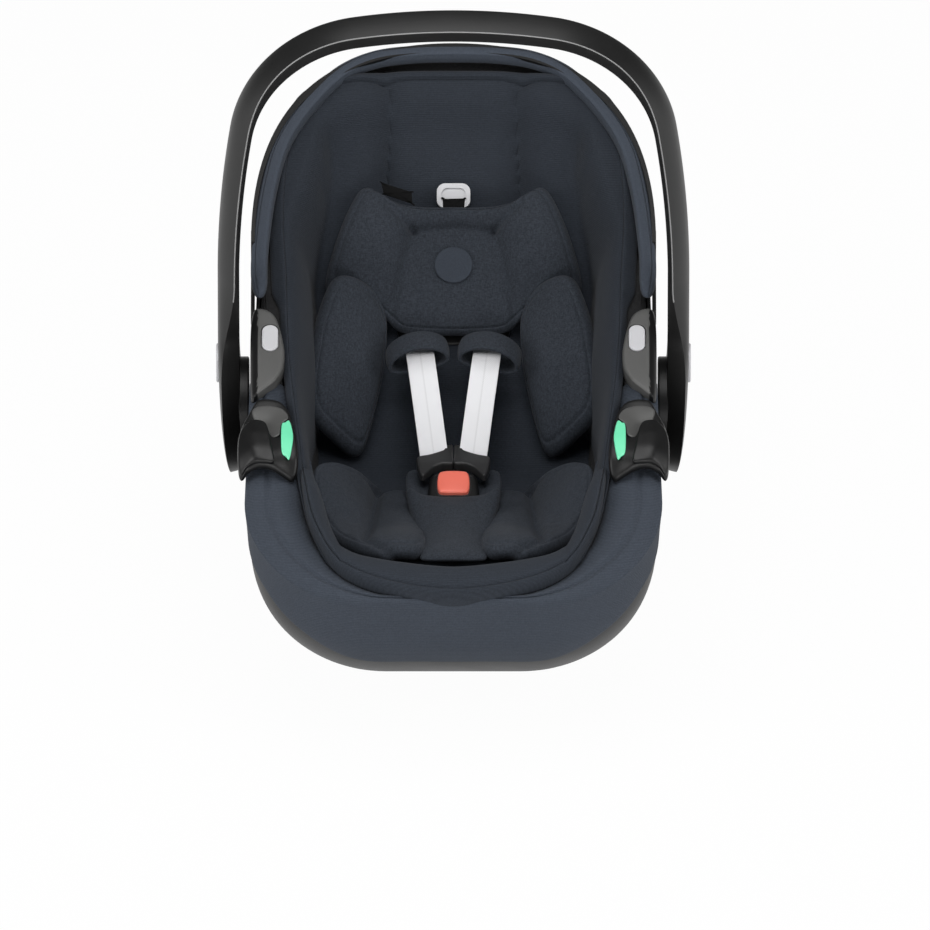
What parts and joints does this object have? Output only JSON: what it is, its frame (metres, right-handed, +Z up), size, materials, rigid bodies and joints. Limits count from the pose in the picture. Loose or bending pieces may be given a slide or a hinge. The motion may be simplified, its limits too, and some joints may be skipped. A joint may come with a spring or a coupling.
{
  "type": "infant car seat",
  "caption": "Rear-facing infant car seat: padded shell with rocker base, swinging carry handle, folding canopy, sliding headrest and harness with buckle.",
  "frame": {"origin": "On the floor, at the middle of the flat underside, under the handle axis.", "axes": "+Z up, +X to the right as seen from the foot end, +Y towards the head end."},
  "size_m": [0.438, 0.659, 0.595],
  "materials": {
    "shell_plastic": "fine-textured black moulding",
    "bucket_plastic": "plain moulding",
    "foam": "expanded bead foam",
    "cover_fabric": "slate blue-grey heathered knit",
    "pad_fabric": "slate blue-grey padded knit",
    "canopy_fabric": "slate woven canopy cloth",
    "handle_plastic": "satin charcoal",
    "trim_plastic": "satin dark grey",
    "button_grey": "satin light grey",
    "marker_green": "mint green",
    "buckle_plastic": "black",
    "buckle_red": "coral red",
    "webbing_light": "light grey webbing",
    "webbing_dark": "black webbing",
    "steel": "zinc-plated steel",
    "bush_plastic": "natural acetal"
  },
  "bodies": {
    "seat": {"rocker_shell": "shell_plastic", "belly_pan": "shell_plastic", "seat_bucket": "bucket_plastic", "foam_liner": "foam", "seat_cover": "cover_fabric", "rim_skirt": "cover_fabric", "crotch_pad": "pad_fabric", "side_bolster_left": "pad_fabric", "side_bolster_right": "pad_fabric", "leg_pad_left": "pad_fabric", "leg_pad_right": "pad_fabric", "side_trim_left": "trim_plastic", "side_trim_right": "trim_plastic", "belt_guide_left": "trim_plastic", "belt_guide_right": "trim_plastic", "canopy_holder_left": "trim_plastic", "canopy_holder_right": "trim_plastic", "belt_marker_left": "marker_green", "belt_marker_right": "marker_green", "buckle_housing": "buckle_plastic", "adjuster_housing": "buckle_plastic", "shoulder_strap_left": "webbing_light", "shoulder_strap_right": "webbing_light", "crotch_strap": "webbing_dark", "adjuster_strap": "webbing_dark", "lock_bar_front": "steel", "lock_bar_rear": "steel", "belly_screws": "steel", "crotch_anchor": "steel", "harness_yoke": "steel", "release_springs": "steel", "buckle_spring": "steel", "hub_bearing_left": "bush_plastic", "hub_bearing_right": "bush_plastic"},
    "handle": {"handle_front": "handle_plastic", "handle_rear": "handle_plastic", "handle_hub_left": "handle_plastic", "handle_hub_right": "handle_plastic", "hub_axle_left": "steel", "hub_axle_right": "steel", "handle_springs": "steel"},
    "handle_button_left": {"handle_button_left": "button_grey"},
    "handle_button_right": {"handle_button_right": "button_grey"},
    "release_button_left": {"release_button_left": "button_grey"},
    "release_button_right": {"release_button_right": "button_grey"},
    "canopy": {"canopy_bow": "trim_plastic", "canopy_cloth": "canopy_fabric"},
    "headrest": {"headrest_board": "bucket_plastic", "head_pillow": "pad_fabric", "pillow_disc": "pad_fabric", "shoulder_pad_left": "pad_fabric", "shoulder_pad_right": "pad_fabric"},
    "headrest_ring": {"headrest_ring": "button_grey", "ring_tape": "webbing_dark"},
    "buckle_button": {"buckle_button": "buckle_red"},
    "buckle_tongue_left": {"buckle_tongue_left": "buckle_plastic"},
    "buckle_tongue_right": {"buckle_tongue_right": "buckle_plastic"},
    "adjuster_button": {"adjuster_button": "buckle_plastic"}
  },
  "joints": [
    {"name": "handle_swing", "type": "hinge", "parent": "seat", "child": "handle", "pos_m": [0, 0, 0.185], "axis": [-1, 0, 0], "range_deg": [0, 105]},
    {"name": "handle_button_press_left", "type": "slide", "parent": "handle", "child": "handle_button_left", "axis": [1, 0, 0], "range_m": [0, 0.003], "stiffness_N_per_m": 600, "springref_m": -0.002, "deforming": ["handle_springs"]},
    {"name": "handle_button_press_right", "type": "slide", "parent": "handle", "child": "handle_button_right", "axis": [-1, 0, 0], "range_m": [0, 0.003], "stiffness_N_per_m": 600, "springref_m": -0.002, "deforming": ["handle_springs"]},
    {"name": "canopy_open", "type": "hinge", "parent": "seat", "child": "canopy", "pos_m": [0, 0.07996, 0.28521], "axis": [1, 0, 0], "range_deg": [0, 95], "deforming": ["canopy_cloth"]},
    {"name": "headrest_slide", "type": "slide", "parent": "seat", "child": "headrest", "axis": [0, 0.7463, 0.6657], "range_m": [0, 0.05], "deforming": ["shoulder_strap_left", "shoulder_strap_right"]},
    {"name": "ring_pull", "type": "slide", "parent": "headrest", "child": "headrest_ring", "axis": [0, 0.7463, 0.6657], "range_m": [0, 0.006], "stiffness_N_per_m": 300, "springref_m": -0.002},
    {"name": "tongue_pull_left", "type": "slide", "parent": "seat", "child": "buckle_tongue_left", "axis": [0, 1, 0], "range_m": [0, 0.025], "deforming": ["shoulder_strap_left"]},
    {"name": "tongue_pull_right", "type": "slide", "parent": "seat", "child": "buckle_tongue_right", "axis": [0, 1, 0], "range_m": [0, 0.025], "deforming": ["shoulder_strap_right"]},
    {"name": "buckle_press", "type": "slide", "parent": "seat", "child": "buckle_button", "axis": [0, 0, -1], "range_m": [0, 0.003], "stiffness_N_per_m": 900, "springref_m": -0.002, "deforming": ["buckle_spring"]},
    {"name": "release_press_left", "type": "slide", "parent": "seat", "child": "release_button_left", "axis": [0, 0.342, -0.9397], "range_m": [0, 0.003], "stiffness_N_per_m": 600, "springref_m": -0.002, "deforming": ["release_springs"]},
    {"name": "release_press_right", "type": "slide", "parent": "seat", "child": "release_button_right", "axis": [0, 0.342, -0.9397], "range_m": [0, 0.003], "stiffness_N_per_m": 600, "springref_m": -0.002, "deforming": ["release_springs"]},
    {"name": "adjuster_press", "type": "slide", "parent": "seat", "child": "adjuster_button", "axis": [0, -0.2381, -0.9712], "range_m": [0, 0.003], "stiffness_N_per_m": 600, "springref_m": -0.002}
  ]
}
